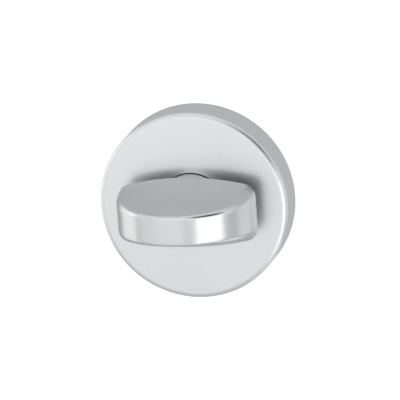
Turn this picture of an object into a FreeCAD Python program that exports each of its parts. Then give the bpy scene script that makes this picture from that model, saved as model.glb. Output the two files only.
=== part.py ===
"""Bathroom thumb turn on a round rose: the inside half of a privacy lock, in millimetres.

X runs to the right, Z up and Y into the door. The door's face is the plane y = 0, the turn's axis is the
Y axis, and the grip stands out towards -Y. The cover, the carrier with its springs and the turn clip as
one unit on a base plate that two screws hold to the door.
"""

import FreeCAD, Part
import math
import os
import re

import Sketcher
from FreeCAD import Placement, Rotation, Vector

# Driving dimensions, one named value each
SIZES = {
    # thumb turn
    "grip_gap": 4.8,
    "grip_radius": 18.6,
    "grip_neck_step": 0.4,
    "grip_tip_half": 3.85,
    "grip_crown_radius": 72.0,
    "grip_tip_edge_radius": 0.9,
    "grip_end_edge_radius": 3.8,
    "grip_base_edge_radius": 0.4,
    "cut_spare": 5.0,
    "neck_inset": 0.2,
    "collar_reach": 0.2,
    "journal_wall": 2.0,
    "journal_flat_depth": 1.0,
    "journal_end_gap": 0.2,
    "socket_gap": 0.05,
    "socket_end_gap": 0.25,
    # spindle and its pin
    "spindle_side": 8.0,
    "spindle_chamfer": 0.6,
    "spindle_front": 18.0,
    "spindle_reach": 45.0,
    "pin_radius": 1.0,
    "pin_wall": 0.35,
    "pin_inset": 0.2,
    "pin_slot": 0.5,
    # bush and wave washer
    "bush_length": 2.6,
    "bush_wall": 1.25,
    "bush_flange": 0.6,
    "bush_flange_width": 1.1,
    "counterbore_gap": 0.2,
    "running_gap": 0.05,
    "seat_gap": 0.05,
    "wave_room": 0.5,
    "wave_thickness": 0.2,
    "wave_width": 1.6,
    "wave_bore_gap": 0.2,
    # stop cam and detent springs
    "turn_degrees": 90.0,
    "stop_gap_degrees": 0.5,
    "cam_wall": 1.5,
    "cam_front": 1.0,
    "cam_square": 1.6,
    "cam_corner_radius": 3.0,
    "cam_disc_step": 1.5,
    "cam_lug_rise": 2.6,
    "cam_lug_degrees": 36.0,
    "cam_gap": 0.3,
    "spring_rest_gap": 0.01,
    "spring_thickness": 0.4,
    "spring_width": 1.4,
    "spring_flat_inset": 0.5,
    "spring_overhang": 3.3,
    "spring_toe": 0.9,
    "spring_side_gap": 0.4,
    "spring_flex_room": 2.9,
    "spring_flex_inset": 1.5,
    # retainer plate and retaining ring
    "plate_thickness": 0.6,
    "plate_inset": 0.4,
    "plate_gap": 0.1,
    "plate_bore_inset": 0.5,
    "stake_gap": 0.08,
    "stake_radius": 1.0,
    "stake_head_rim": 0.5,
    "stake_head": 0.4,
    "stake_room": 0.5,
    "stake_inset": 3.4,
    "stake_shift": 1.0,
    "ring_thickness": 0.8,
    "ring_groove_depth": 0.5,
    "ring_width": 1.5,
    "ring_mouth_degrees": 60.0,
    "ring_side_gap": 0.05,
    # fixing screws and washers
    "screw_radius": 2.0,
    "screw_length": 18.0,
    "screw_point": 0.6,
    "screw_shank_step": 0.23,
    "screw_thread_gap": 0.3,
    "screw_head_rim": 1.5,
    "screw_head": 2.6,
    "screw_head_bevel": 0.3,
    "screw_slot": 1.2,
    "screw_slot_depth": 1.2,
    "washer_rim": 2.0,
    "washer_thickness": 0.8,
    "washer_bore_gap": 0.2,
    # bearing carrier
    "carrier_gap": 0.2,
    "carrier_plate": 2.0,
    "carrier_bevel": 0.8,
    "carrier_block_wall": 2.4,
    "carrier_block_gap": 2.0,
    "carrier_skirt_gap": 0.3,
    "carrier_skirt_wall": 1.2,
    "carrier_skirt_end_gap": 0.1,
    "carrier_rib": 1.2,
    "screw_pocket_gap": 0.8,
    "screw_pocket_room": 0.5,
    "screw_pocket_wall": 0.1,
    # base plate
    "base_thickness": 1.5,
    "base_rim_gap": 0.4,
    "base_rim_height": 4.0,
    "base_rim_wall": 1.4,
    "base_rim_bevel": 0.4,
    "base_bore_gap": 0.5,
    "washer_rim_gap": 0.1,
    "lug_wall": 1.6,
    "lug_height": 6.0,
    "lug_bore_gap": 0.15,
    # snap ring
    "snap_wire_radius": 0.5,
    "snap_level": 2.0,
    "snap_groove_gap": 0.1,
    "snap_groove_depth": 0.3,
    "snap_gap": 0.05,
    "snap_mouth_degrees": 24.0,
    # rose cover
    "rose_draft": 0.4,
    "rose_front_wall": 1.0,
    "rose_side_wall": 1.1,
    "rose_edge_radius": 1.6,
    "rose_bore_gap": 0.2,
}

# Radii and levels that follow from the sizes: from the spindle out to the rose, and from the door outwards
RULES = {
    "socket_half": "spindle_side / 2 + socket_gap",
    "journal_flat_half": "spindle_side / 2 + journal_wall",
    "journal_radius": "journal_flat_half + journal_flat_depth",
    "bush_inner_radius": "journal_radius + running_gap",
    "bush_outer_radius": "bush_inner_radius + bush_wall",
    "bush_flange_radius": "bush_outer_radius + bush_flange_width",
    "counterbore_radius": "bush_flange_radius + counterbore_gap",
    "neck_radius": "bush_flange_radius - neck_inset",
    "grip_base_half": "neck_radius + grip_neck_step",
    "ring_groove_radius": "journal_radius - ring_groove_depth",
    "base_bore_radius": "journal_radius + base_bore_gap",
    "cam_half": "journal_radius + cam_wall",
    "cam_disc_radius": "cam_half + cam_disc_step",
    "cam_lug_radius": "cam_disc_radius + cam_lug_rise",
    "spring_outer": "cam_half + spring_thickness",
    "spring_flat_half": "cam_half - spring_flat_inset",
    "spring_half_length": "cam_half + spring_overhang",
    "room_half": "spring_half_length + spring_side_gap",
    "room_toe": "spring_outer + spring_toe + seat_gap",
    "room_deep": "spring_outer + spring_flex_room",
    "room_deep_half": "spring_flat_half + spring_flex_inset",
    "plate_bore_radius": "spring_half_length - plate_bore_inset",
    "stake_side": "spring_flat_half - stake_shift",
    "stake_rise": "room_deep + stake_inset",
    "screw_head_radius": "screw_radius + screw_head_rim",
    "screw_pocket_radius": "screw_head_radius + screw_pocket_gap",
    "washer_radius": "screw_radius + washer_rim",
    "carrier_block_half": "room_half + carrier_block_wall",
    "lug_half": "carrier_block_half + screw_pocket_wall + screw_pocket_radius",
    "lug_bore_radius": "screw_radius + lug_bore_gap",
    "screw_shank_radius": "screw_radius - screw_shank_step",
    "screw_thread_front": "lug_height + screw_thread_gap",
    "base_rim_inner": "lug_half + washer_radius + washer_rim_gap",
    "base_rim_radius": "base_rim_inner + base_rim_wall",
    "skirt_radius": "base_rim_inner - carrier_skirt_gap",
    "skirt_inner": "skirt_radius - carrier_skirt_wall",
    "carrier_block_radius": "skirt_inner - carrier_block_gap",
    "plate_radius": "carrier_block_radius - plate_inset",
    "plate_half": "carrier_block_half - plate_inset",
    "snap_groove_half": "snap_wire_radius + snap_groove_gap",
    "cover_inner_radius": "base_rim_radius + base_rim_gap",
    "cover_inner_front_radius": "cover_inner_radius - rose_draft",
    "rose_radius": "cover_inner_radius + rose_side_wall",
    "rose_front_radius": "rose_radius - rose_draft",
    "carrier_radius": "cover_inner_front_radius - carrier_gap",
    "base_front": "-base_thickness",
    "journal_end": "base_front - journal_end_gap",
    "skirt_back": "base_front - carrier_skirt_end_gap",
    "washer_front": "base_front - washer_thickness",
    "screw_head_front": "washer_front - screw_head",
    "plate_back": "base_front - stake_room - stake_head",
    "plate_front": "plate_back - plate_thickness",
    "cam_back": "plate_front - plate_gap",
    "ring_front": "cam_back + ring_side_gap",
    "ring_back": "ring_front + ring_thickness",
    "cam_step": "cam_back - cam_square",
    "cam_level": "cam_step - cam_front",
    "bush_back": "cam_level",
    "bush_front": "bush_back - bush_length",
    "counterbore_floor": "bush_front + bush_flange",
    "collar_back": "bush_front - wave_room",
    "carrier_front": "collar_back - collar_reach",
    "carrier_plate_back": "carrier_front + carrier_plate",
    "rose_front": "carrier_front - rose_front_wall",
    "grip_base": "rose_front - grip_gap",
    "grip_tip": "grip_base - grip_radius",
    "pin_level": "(bush_front + bush_back) / 2",
    "pin_length": "2 * (journal_radius - pin_inset)",
    "spring_front": "cam_step + (cam_square - spring_width) / 2",
}

NAME = re.compile(r"[a-z][a-z_]*")


def rule(text):
    """Write a rule in plain names as an expression on the sheet."""

    def place(match):
        word = match.group(0)
        if word in RULES:
            return "(" + rule(RULES[word]) + ")"
        return "Sizes." + word if word in SIZES else word

    return NAME.sub(place, text)


doc = FreeCAD.newDocument("ThumbTurnLock")
sheet = doc.addObject("Spreadsheet::Sheet", "Sizes")
for row, (alias, value) in enumerate(SIZES.items(), start=1):
    sheet.set(f"A{row}", alias)
    sheet.set(f"B{row}", str(value))
    sheet.setAlias(f"B{row}", alias)
doc.recompute()


def value(text):
    """The present value of a rule."""
    return float(sheet.evalExpression(rule(text)))


def bind(thing, **rules):
    """Tie properties of an object to the sheet."""
    for name, text in rules.items():
        thing.setExpression(name, rule(text))


def new_body(label):
    body = doc.addObject("PartDesign::Body", label)
    body.Label = label
    return body


def plane(body, role):
    return next(f for f in body.Origin.OriginFeatures if f.Role == role)


def new_sketch(body, name, role, lift=None):
    """A sketch on one of the body's own planes, lifted along the plane's normal by a rule."""
    sketch = body.newObject("Sketcher::SketchObject", name)
    sketch.AttachmentSupport = [(plane(body, role), "")]
    sketch.MapMode = "FlatFace"
    if lift is not None:
        sketch.AttachmentOffset = Placement(Vector(0, 0, value(lift)), Rotation())
        sketch.setExpression("AttachmentOffset.Base.z", rule(lift))
    return sketch


def hold(sketch, geometry, point, x=None, y=None):
    """Dimension a sketch point from the origin by a rule for x, for y or for both."""
    for kind, text in (("DistanceX", x), ("DistanceY", y)):
        if text is not None:
            index = sketch.addConstraint(Sketcher.Constraint(kind, -1, 1, geometry, point, value(text)))
            sketch.setExpression(f"Constraints[{index}]", rule(text))


def add_outline(sketch, corners):
    """A closed outline of straight lines through corners given as pairs of rules."""
    spots = [Vector(value(x), value(y), 0) for x, y in corners]
    first = sketch.GeometryCount
    count = len(spots)
    for i, spot in enumerate(spots):
        sketch.addGeometry(Part.LineSegment(spot, spots[(i + 1) % count]), False)
    for i in range(count):
        after = first + (i + 1) % count
        sketch.addConstraint(Sketcher.Constraint("Coincident", first + i, 2, after, 1))
    for i, (x, y) in enumerate(corners):
        hold(sketch, first + i, 1, x, y)


def add_circle(sketch, x, y, radius):
    centre = Vector(value(x), value(y), 0)
    circle = sketch.addGeometry(Part.Circle(centre, Vector(0, 0, 1), value(radius)), False)
    hold(sketch, circle, 3, x, y)
    index = sketch.addConstraint(Sketcher.Constraint("Radius", circle, value(radius)))
    sketch.setExpression(f"Constraints[{index}]", rule(radius))


def add_sector(sketch, inner, outer, middle, spread):
    """A ring sector about the origin, by two radii, its middle angle and its spread in degrees."""
    start = f"(({middle}) - ({spread}) / 2)"
    end = f"(({middle}) + ({spread}) / 2)"
    angles = [math.radians(value(start)), math.radians(value(end))]
    arcs = []
    for radius in (inner, outer):
        circle = Part.Circle(Vector(0, 0, 0), Vector(0, 0, 1), value(radius))
        arc = sketch.addGeometry(Part.ArcOfCircle(circle, *angles), False)
        sketch.addConstraint(Sketcher.Constraint("Coincident", arc, 3, -1, 1))
        index = sketch.addConstraint(Sketcher.Constraint("Radius", arc, value(radius)))
        sketch.setExpression(f"Constraints[{index}]", rule(radius))
        arcs.append(arc)
    for point, angle, turn in ((1, start, angles[0]), (2, end, angles[1])):
        ends = [sketch.getPoint(arc, point) for arc in arcs]
        side = sketch.addGeometry(Part.LineSegment(*ends), False)
        sketch.addConstraint(Sketcher.Constraint("Coincident", side, 1, arcs[0], point))
        sketch.addConstraint(Sketcher.Constraint("Coincident", side, 2, arcs[1], point))
        sketch.addConstraint(Sketcher.Constraint("PointOnObject", -1, 1, side))
        index = sketch.addConstraint(Sketcher.Constraint("Angle", side, turn))
        sketch.setExpression(f"Constraints[{index}]", rule(angle) + " * 1 deg")


def pad(body, name, sketch, length, outward=True, midplane=False):
    feature = body.newObject("PartDesign::Pad", name)
    feature.Profile = sketch
    feature.Midplane = midplane
    feature.Reversed = not outward
    bind(feature, Length=length)
    doc.recompute()
    return feature


def pocket(body, name, sketch, depth=None, outward=True, midplane=False):
    """Cut a sketch out of its body, by a depth or right through, and check that it removes material."""
    before = body.Shape.Volume
    feature = body.newObject("PartDesign::Pocket", name)
    feature.Profile = sketch
    feature.Midplane = midplane
    feature.Reversed = outward
    if depth is None:
        feature.Type = "ThroughAll"
    else:
        bind(feature, Length=depth)
    doc.recompute()
    if not body.Shape.Volume < before:
        raise RuntimeError(f"{name} removes nothing")
    return feature


def revolve(body, name, sketch, degrees="360"):
    feature = body.newObject("PartDesign::Revolution", name)
    feature.Profile = sketch
    feature.ReferenceAxis = (sketch, ["V_Axis"])
    bind(feature, Angle=degrees)
    doc.recompute()
    return feature


def turned(label, corners):
    """A body turned about the Y axis from an outline of radius and level rules."""
    body = new_body(label)
    sketch = new_sketch(body, label + "_profile", "XY_Plane")
    add_outline(sketch, corners)
    revolve(body, label + "_turned", sketch)
    return body


def round_edges(body, name, radius, wanted):
    """Fillet the edges of the body's tip that a test picks."""
    base = body.Tip
    edges = [f"Edge{i}" for i, edge in enumerate(base.Shape.Edges, start=1) if wanted(edge)]
    if not edges:
        raise RuntimeError(f"{name} finds no edge")
    fillet = body.newObject("PartDesign::Fillet", name)
    fillet.Base = (base, edges)
    bind(fillet, Radius=radius)
    doc.recompute()
    return fillet


def is_ring(radius, level):
    """A test for full circles about the turn's axis, of one radius at one level."""

    def wanted(edge):
        curve = edge.Curve
        return (
            isinstance(curve, Part.Circle)
            and abs(curve.Radius - value(radius)) < 1e-3
            and abs(curve.Center.y - value(level)) < 1e-3
        )

    return wanted


def cover_radius_at(level, front_radius, base_radius):
    """The radius of a drafted wall at a level, between its front and base radii."""
    return f"({base_radius}) + (({front_radius}) - ({base_radius})) * ({level}) / (rose_front)"


def make_rose_cover():
    """A turned cup with drafted side, rounded front edge, bore for the neck and groove for the snap ring."""
    groove_front = "-(snap_level + snap_groove_half)"
    groove_back = "-(snap_level - snap_groove_half)"
    inner_at_front = cover_radius_at(groove_front, "cover_inner_front_radius", "cover_inner_radius")
    inner_at_back = cover_radius_at(groove_back, "cover_inner_front_radius", "cover_inner_radius")
    body = turned(
        "rose_cover",
        [
            ("neck_radius + rose_bore_gap", "rose_front"),
            ("rose_front_radius", "rose_front"),
            ("rose_radius", "0"),
            ("cover_inner_radius", "0"),
            (inner_at_back, groove_back),
            ("cover_inner_radius + snap_groove_depth", groove_back),
            ("cover_inner_radius + snap_groove_depth", groove_front),
            (inner_at_front, groove_front),
            ("cover_inner_front_radius", "carrier_front"),
            ("neck_radius + rose_bore_gap", "carrier_front"),
        ],
    )
    round_edges(body, "rose_edge", "rose_edge_radius", is_ring("rose_front_radius", "rose_front"))
    return body


def make_thumb_turn():
    """The half moon grip on its neck, with the journal, its flats and groove, and the spindle socket."""
    body = new_body("thumb_turn")
    body.BaseFeature = make_grip()
    doc.recompute()

    neck = new_sketch(body, "neck_circle", "XZ_Plane", "-(grip_base)")
    add_circle(neck, "0", "0", "neck_radius")
    pad(body, "neck", neck, "collar_back - (grip_base)", outward=False)
    journal = new_sketch(body, "journal_circle", "XZ_Plane", "-(collar_back)")
    add_circle(journal, "0", "0", "journal_radius")
    pad(body, "journal", journal, "journal_end - (collar_back)", outward=False)

    flats = new_sketch(body, "journal_flats", "XZ_Plane", "-(journal_end)")
    for side in ("", "-"):
        add_outline(
            flats,
            [
                ("-(journal_radius + cut_spare)", f"{side}(journal_flat_half)"),
                ("journal_radius + cut_spare", f"{side}(journal_flat_half)"),
                ("journal_radius + cut_spare", f"{side}(journal_radius + cut_spare)"),
                ("-(journal_radius + cut_spare)", f"{side}(journal_radius + cut_spare)"),
            ],
        )
    pocket(body, "journal_flat_cut", flats, "journal_end - (cam_level)")
    groove = new_sketch(body, "ring_groove_profile", "XY_Plane")
    add_outline(
        groove,
        [
            ("ring_groove_radius", "cam_back"),
            ("journal_radius + cut_spare", "cam_back"),
            ("journal_radius + cut_spare", "ring_back + ring_side_gap"),
            ("ring_groove_radius", "ring_back + ring_side_gap"),
        ],
    )
    cut_groove(body, "ring_groove", groove)

    socket = new_sketch(body, "socket_square", "XZ_Plane", "-(journal_end)")
    add_outline(socket, square("socket_half"))
    pocket(body, "spindle_socket", socket, "journal_end + spindle_front + socket_end_gap")
    cross = new_sketch(body, "pin_hole_circle", "YZ_Plane")
    add_circle(cross, "pin_level", "0", "pin_radius + seat_gap")
    pocket(body, "pin_hole", cross, midplane=True)
    return body


def square(half):
    """The four corners of a square about the origin."""
    return [(f"-({half})", f"-({half})"), (half, f"-({half})"), (half, half), (f"-({half})", half)]


def make_grip():
    """A half moon with tapered and crowned flanks, every edge of it rounded."""
    body = new_body("grip")
    moon = new_sketch(body, "grip_moon", "XY_Plane")
    add_half_moon(moon)
    disc = pad(body, "grip_disc", moon, "2 * grip_base_half + cut_spare", midplane=True)
    disc.Refine = False
    for name, side in (("upper_flank", 1), ("lower_flank", -1)):
        waste = new_sketch(body, name + "_waste", "XZ_Plane", "-(grip_base)")
        add_flank_waste(waste, side)
        cut = pocket(body, name, waste, "grip_radius + cut_spare")
        cut.Refine = False
        cut.UseCustomVector = True
        cut.AlongSketchNormal = True
        cut.Direction = Vector(0, 1, side)
        cut.setExpression("Direction.z", rule(f"{side} * (grip_base_half - grip_tip_half) / grip_radius"))
        doc.recompute()
    front = round_by_ends("grip_front_edges", body, front_edge_radii(body.Shape))
    radius = value("grip_base_edge_radius")
    edges = [i for i, edge in enumerate(front.Shape.Edges, start=1) if is_on_grip_base(edge)]
    return round_by_ends("grip_base_edges", front, [(i, radius, radius) for i in edges])


def add_half_moon(sketch):
    """A half disc in front of the grip's base plane: two quarter arcs, so that its edges meet at the tip."""
    circle = Part.Circle(Vector(0, value("grip_base"), 0), Vector(0, 0, 1), value("grip_radius"))
    left = sketch.addGeometry(Part.ArcOfCircle(circle, math.pi, 1.5 * math.pi), False)
    right = sketch.addGeometry(Part.ArcOfCircle(circle, 1.5 * math.pi, 2 * math.pi), False)
    ends = sketch.getPoint(right, 2), sketch.getPoint(left, 1)
    line = sketch.addGeometry(Part.LineSegment(*ends), False)
    for first, second, point in ((line, right, 2), (right, left, 2), (left, line, 2)):
        sketch.addConstraint(Sketcher.Constraint("Coincident", first, 1, second, point))
    sketch.addConstraint(Sketcher.Constraint("Coincident", left, 3, right, 3))
    hold(sketch, left, 3, "0", "grip_base")
    hold(sketch, left, 2, "0", "grip_tip")
    hold(sketch, left, 1, y="grip_base")
    hold(sketch, right, 2, y="grip_base")


def add_flank_waste(sketch, side):
    """What lies outside one flank in the grip's base plane: from a long arc out to a far line."""
    sign, right, left = ("", "", "-") if side > 0 else ("-", "-", "")
    reach = "(grip_radius + cut_spare)"
    middle = "(grip_base_half - grip_crown_radius)"
    edge = f"({middle} + sqrt(grip_crown_radius ^ 2 - {reach} ^ 2))"
    far = "(2 * grip_base_half + cut_spare)"
    centre = Vector(0, side * value(middle), 0)
    circle = Part.Circle(centre, Vector(0, 0, 1), value("grip_crown_radius"))
    half = math.asin(value(reach) / value("grip_crown_radius"))
    up = side * math.pi / 2
    arc = sketch.addGeometry(Part.ArcOfCircle(circle, up - half, up + half), False)
    hold(sketch, arc, 3, "0", sign + middle)
    hold(sketch, arc, 1, right + reach, sign + edge)
    hold(sketch, arc, 2, x=left + reach)
    corners = [(left, edge), (left, far), (right, far), (right, edge)]
    spots = [Vector(value(x + reach), value(sign + y), 0) for x, y in corners]
    lines = [sketch.addGeometry(Part.LineSegment(a, b), False) for a, b in zip(spots, spots[1:])]
    loop = [arc, *lines, arc]
    for first, second in zip(loop, loop[1:]):
        sketch.addConstraint(Sketcher.Constraint("Coincident", first, 2, second, 1))
    hold(sketch, lines[1], 1, left + reach, sign + far)
    hold(sketch, lines[2], 1, right + reach, sign + far)


def round_by_ends(name, base, radii):
    """Round edges, each given as its number with its radius at its start and at its end."""
    fillet = doc.addObject("Part::Fillet", name)
    fillet.Base = base
    fillet.Edges = list(radii)
    doc.recompute()
    if not fillet.Shape.Volume < base.Shape.Volume:
        raise RuntimeError(f"{name} removes nothing")
    return fillet


def front_edge_radii(shape):
    """The four edges between front and flanks: sharper at the tip, blunter at the grip's two ends."""
    base = value("grip_base")
    at_tip, at_end = value("grip_tip_edge_radius"), value("grip_end_edge_radius")
    for i, edge in enumerate(shape.Edges, start=1):
        points = edge.discretize(7)
        on_front = all(abs(math.hypot(p.x, p.y - base) - value("grip_radius")) < 1e-3 for p in points)
        if on_front and not isinstance(edge.Curve, Part.Line):
            starts_at_tip = abs(edge.valueAt(edge.FirstParameter).x) < 1e-3
            yield (i, at_tip, at_end) if starts_at_tip else (i, at_end, at_tip)


def is_on_grip_base(edge):
    """Every edge in the plane that the grip stands on."""
    box = edge.BoundBox
    base = value("grip_base")
    return abs(box.YMin - base) < 1e-3 and abs(box.YMax - base) < 1e-3


def cut_groove(body, name, sketch):
    """Turn a groove about the Y axis and check that it removes material."""
    before = body.Shape.Volume
    groove = body.newObject("PartDesign::Groove", name)
    groove.Profile = sketch
    groove.ReferenceAxis = (sketch, ["V_Axis"])
    groove.Angle = 360
    doc.recompute()
    if not body.Shape.Volume < before:
        raise RuntimeError(f"{name} removes nothing")
    return groove


def make_neck_bush():
    """The flanged bush that the journal runs in."""
    return turned(
        "neck_bush",
        [
            ("bush_inner_radius", "bush_front"),
            ("bush_flange_radius", "bush_front"),
            ("bush_flange_radius", "counterbore_floor"),
            ("bush_outer_radius", "counterbore_floor"),
            ("bush_outer_radius", "bush_back"),
            ("bush_inner_radius", "bush_back"),
        ],
    )


def make_carrier():
    """The moulded carrier: plate, spring block, skirt and ribs, with the cavities for cam and springs."""
    body = turned(
        "bearing_carrier",
        [
            ("bush_outer_radius", "counterbore_floor"),
            ("counterbore_radius", "counterbore_floor"),
            ("counterbore_radius", "carrier_front"),
            ("carrier_radius - carrier_bevel", "carrier_front"),
            ("carrier_radius", "carrier_front + carrier_bevel"),
            ("carrier_radius", "carrier_plate_back"),
            ("skirt_radius", "carrier_plate_back"),
            ("skirt_radius", "skirt_back"),
            ("skirt_inner", "skirt_back"),
            ("skirt_inner", "carrier_plate_back"),
            ("bush_outer_radius", "carrier_plate_back"),
        ],
    )
    block = new_sketch(body, "block_outline", "XZ_Plane", "-(carrier_plate_back - seat_gap)")
    add_flatted_circle(block, "carrier_block_radius", "carrier_block_half")
    pad(body, "block", block, "plate_front - (carrier_plate_back - seat_gap)", outward=False)

    ribs = new_sketch(body, "rib_outline", "XZ_Plane", "-(carrier_plate_back - seat_gap)")
    add_outline(
        ribs,
        [
            ("-carrier_rib / 2", "carrier_block_half"),
            ("carrier_rib / 2", "carrier_block_half"),
            ("carrier_rib / 2", "skirt_inner + seat_gap"),
            ("-carrier_rib / 2", "skirt_inner + seat_gap"),
        ],
    )
    rib = pad(body, "rib", ribs, "plate_front - (carrier_plate_back - seat_gap)", outward=False)
    pattern = body.newObject("PartDesign::PolarPattern", "ribs")
    pattern.Originals = [rib]
    pattern.Axis = (ribs, ["N_Axis"])
    pattern.Angle = 360
    pattern.Occurrences = 6
    body.Tip = pattern
    doc.recompute()

    cavity = new_sketch(body, "cam_circle", "XZ_Plane", "-(plate_front)")
    add_circle(cavity, "0", "0", "cam_disc_radius + cam_gap")
    pocket(body, "cam_cavity", cavity, "plate_front - (cam_level)")
    stop = new_sketch(body, "stop_arc", "XZ_Plane", "-(plate_front)")
    swing = "turn_degrees + cam_lug_degrees + 2 * stop_gap_degrees"
    add_sector(stop, "cam_disc_radius - cam_disc_step", "cam_lug_radius + cam_gap", "90", swing)
    pocket(body, "stop_pocket", stop, "plate_front - (cam_level)")
    room = new_sketch(body, "spring_room", "XZ_Plane", "-(plate_front)")
    add_spring_room(room)
    pocket(body, "spring_cavity", room, "plate_front - (cam_step - seat_gap)")
    hub = new_sketch(body, "bush_circle", "XZ_Plane", "-(plate_front)")
    add_circle(hub, "0", "0", "bush_outer_radius")
    pocket(body, "bush_seat", hub, "plate_front - (counterbore_floor)")
    heads = new_sketch(body, "screw_pocket_circles", "XZ_Plane", "-(skirt_back)")
    for side in ("", "-"):
        add_circle(heads, f"{side}(lug_half)", "0", "screw_pocket_radius")
    pocket(body, "screw_pockets", heads, "skirt_back - (screw_head_front - screw_pocket_room)")

    for name, radius, level, height in (
        ("stakes", "stake_radius", "plate_front", "plate_thickness"),
        ("stake_heads", "stake_radius + stake_head_rim", "plate_back", "stake_head"),
    ):
        pins = new_sketch(body, name + "_circles", "XZ_Plane", f"-({level})")
        add_stake_circles(pins, radius)
        pad(body, name, pins, height, outward=False)
    return body


def add_flatted_circle(sketch, radius, half):
    """A circle cut off straight at both sides."""
    rise = f"sqrt(({radius}) ^ 2 - ({half}) ^ 2)"
    angle = math.acos(value(half) / value(radius))
    circle = Part.Circle(Vector(0, 0, 0), Vector(0, 0, 1), value(radius))
    spans = ((angle, math.pi - angle), (math.pi + angle, 2 * math.pi - angle))
    arcs = [sketch.addGeometry(Part.ArcOfCircle(circle, *span), False) for span in spans]
    for arc, side in zip(arcs, ("", "-")):
        sketch.addConstraint(Sketcher.Constraint("Coincident", arc, 3, -1, 1))
        hold(sketch, arc, 1, f"{side}({half})", f"{side}({rise})")
    for first, second, other in ((arcs[0], arcs[1], "-"), (arcs[1], arcs[0], "")):
        ends = sketch.getPoint(first, 2), sketch.getPoint(second, 1)
        line = sketch.addGeometry(Part.LineSegment(*ends), False)
        sketch.addConstraint(Sketcher.Constraint("Coincident", line, 1, first, 2))
        sketch.addConstraint(Sketcher.Constraint("Coincident", line, 2, second, 1))
        hold(sketch, first, 2, x=f"{other}({half})")


def add_spring_room(sketch):
    """The cavity for cam and springs: wide at the spring toes, deeper where the springs flex."""
    add_outline(
        sketch,
        [
            ("room_half", "-(room_toe)"),
            ("room_half", "room_toe"),
            ("room_deep_half", "room_toe"),
            ("room_deep_half", "room_deep"),
            ("-(room_deep_half)", "room_deep"),
            ("-(room_deep_half)", "room_toe"),
            ("-(room_half)", "room_toe"),
            ("-(room_half)", "-(room_toe)"),
            ("-(room_deep_half)", "-(room_toe)"),
            ("-(room_deep_half)", "-(room_deep)"),
            ("room_deep_half", "-(room_deep)"),
            ("room_deep_half", "-(room_toe)"),
        ],
    )


def add_stake_circles(sketch, radius):
    """One circle at each of the four stake pins."""
    for across in ("", "-"):
        for up in ("", "-"):
            add_circle(sketch, f"{across}(stake_side)", f"{up}(stake_rise)", radius)


def make_spring(label, side):
    """A leaf spring flat on the cam, with its toes bent out to the carrier; side is a sign."""
    body = new_body(label)
    sketch = new_sketch(body, label + "_strip", "XZ_Plane", "-(spring_front)")
    inner = "(cam_half)"
    outer = "(spring_outer)"
    add_outline(
        sketch,
        [
            ("-(spring_flat_half)", f"{side}{inner}"),
            ("spring_flat_half", f"{side}{inner}"),
            ("spring_half_length", f"{side}({inner} + spring_toe)"),
            ("spring_half_length", f"{side}({outer} + spring_toe)"),
            ("spring_flat_half", f"{side}{outer}"),
            ("-(spring_flat_half)", f"{side}{outer}"),
            ("-(spring_half_length)", f"{side}({outer} + spring_toe)"),
            ("-(spring_half_length)", f"{side}({inner} + spring_toe)"),
        ],
    )
    pad(body, label + "_leaf", sketch, "spring_width", outward=False)
    return body


def make_stop_cam():
    """The cam: a round front level with the stop lug, a square detent level, and a flatted bore."""
    body = new_body("stop_cam")
    disc = new_sketch(body, "cam_disc_circle", "XZ_Plane", "-(cam_level + seat_gap)")
    add_circle(disc, "0", "0", "cam_disc_radius")
    pad(body, "cam_disc", disc, "cam_front - seat_gap", outward=False)
    lug = new_sketch(body, "cam_lug_sector", "XZ_Plane", "-(cam_level + seat_gap)")
    middle = "(90 + turn_degrees / 2)"
    add_sector(lug, "cam_disc_radius - cam_disc_step", "cam_lug_radius", middle, "cam_lug_degrees")
    pad(body, "cam_lug", lug, "cam_front - seat_gap", outward=False)
    detent = new_sketch(body, "cam_square_outline", "XZ_Plane", "-(cam_step)")
    add_outline(detent, square("(cam_half - spring_rest_gap)"))
    pad(body, "cam_detent", detent, "cam_square", outward=False)
    round_edges(body, "cam_corners", "cam_corner_radius", is_cam_corner)
    bore = new_sketch(body, "cam_bore_outline", "XZ_Plane", "-(cam_back)")
    add_flatted_bore(bore, "journal_radius + seat_gap", "journal_flat_half + seat_gap")
    pocket(body, "cam_bore", bore)
    return body


def add_flatted_bore(sketch, radius, half):
    """A circle cut off straight above and below."""
    reach = f"sqrt(({radius}) ^ 2 - ({half}) ^ 2)"
    angle = math.asin(value(half) / value(radius))
    circle = Part.Circle(Vector(0, 0, 0), Vector(0, 0, 1), value(radius))
    spans = ((-angle, angle), (math.pi - angle, math.pi + angle))
    arcs = [sketch.addGeometry(Part.ArcOfCircle(circle, *span), False) for span in spans]
    for arc, side, lead in ((arcs[0], "", "-"), (arcs[1], "-", "")):
        sketch.addConstraint(Sketcher.Constraint("Coincident", arc, 3, -1, 1))
        hold(sketch, arc, 1, f"{side}({reach})", f"{lead}({half})")
    for first, second, up in ((arcs[0], arcs[1], ""), (arcs[1], arcs[0], "-")):
        ends = sketch.getPoint(first, 2), sketch.getPoint(second, 1)
        line = sketch.addGeometry(Part.LineSegment(*ends), False)
        sketch.addConstraint(Sketcher.Constraint("Coincident", line, 1, first, 2))
        sketch.addConstraint(Sketcher.Constraint("Coincident", line, 2, second, 1))
        text = f"{up}({half})"
        index = sketch.addConstraint(
            Sketcher.Constraint("DistanceY", -1, 1, first, 2, value(text))
        )
        sketch.setExpression(f"Constraints[{index}]", rule(text))


def is_cam_corner(edge):
    """The four corner edges of the cam's square level."""
    corner = value("cam_half - spring_rest_gap")
    centre = edge.CenterOfMass
    return (
        isinstance(edge.Curve, Part.Line)
        and abs(abs(centre.x) - corner) < 1e-3
        and abs(abs(centre.z) - corner) < 1e-3
    )


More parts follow.
